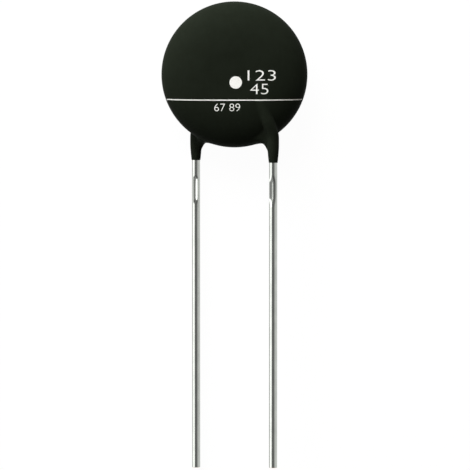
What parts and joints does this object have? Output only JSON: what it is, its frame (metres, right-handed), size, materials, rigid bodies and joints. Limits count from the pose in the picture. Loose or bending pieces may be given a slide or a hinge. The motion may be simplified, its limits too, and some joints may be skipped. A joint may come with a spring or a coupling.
{
  "type": "ntc thermistor",
  "caption": "Disc NTC thermistor: a domed, dip-coated ceramic disc on parallel straight tinned wire leads that solder into board holes.",
  "frame": {"origin": "middle of the part's outline seen from the front, at the height of the surface that it lies on", "axes": "+Y from the lead tips up to the disc, +Z out of the printed front face, +X to the right with the front face towards the viewer"},
  "size_m": [0.014, 0.0454, 0.005],
  "materials": {
    "coating": "satin dip-coated epoxy, near black with a slight green cast",
    "ceramic": "sintered oxide, matte dark grey",
    "silver": "fired silver, matte",
    "solder": "satin solder",
    "lead_wire": "bright tin plate on copper wire"
  },
  "bodies": {
    "root": {"coating": "coating", "ceramic_disc": "ceramic", "front_electrode": "silver", "rear_electrode": "silver", "front_solder": "solder", "rear_solder": "solder", "front_lead": "lead_wire", "rear_lead": "lead_wire"}
  },
  "joints": []
}
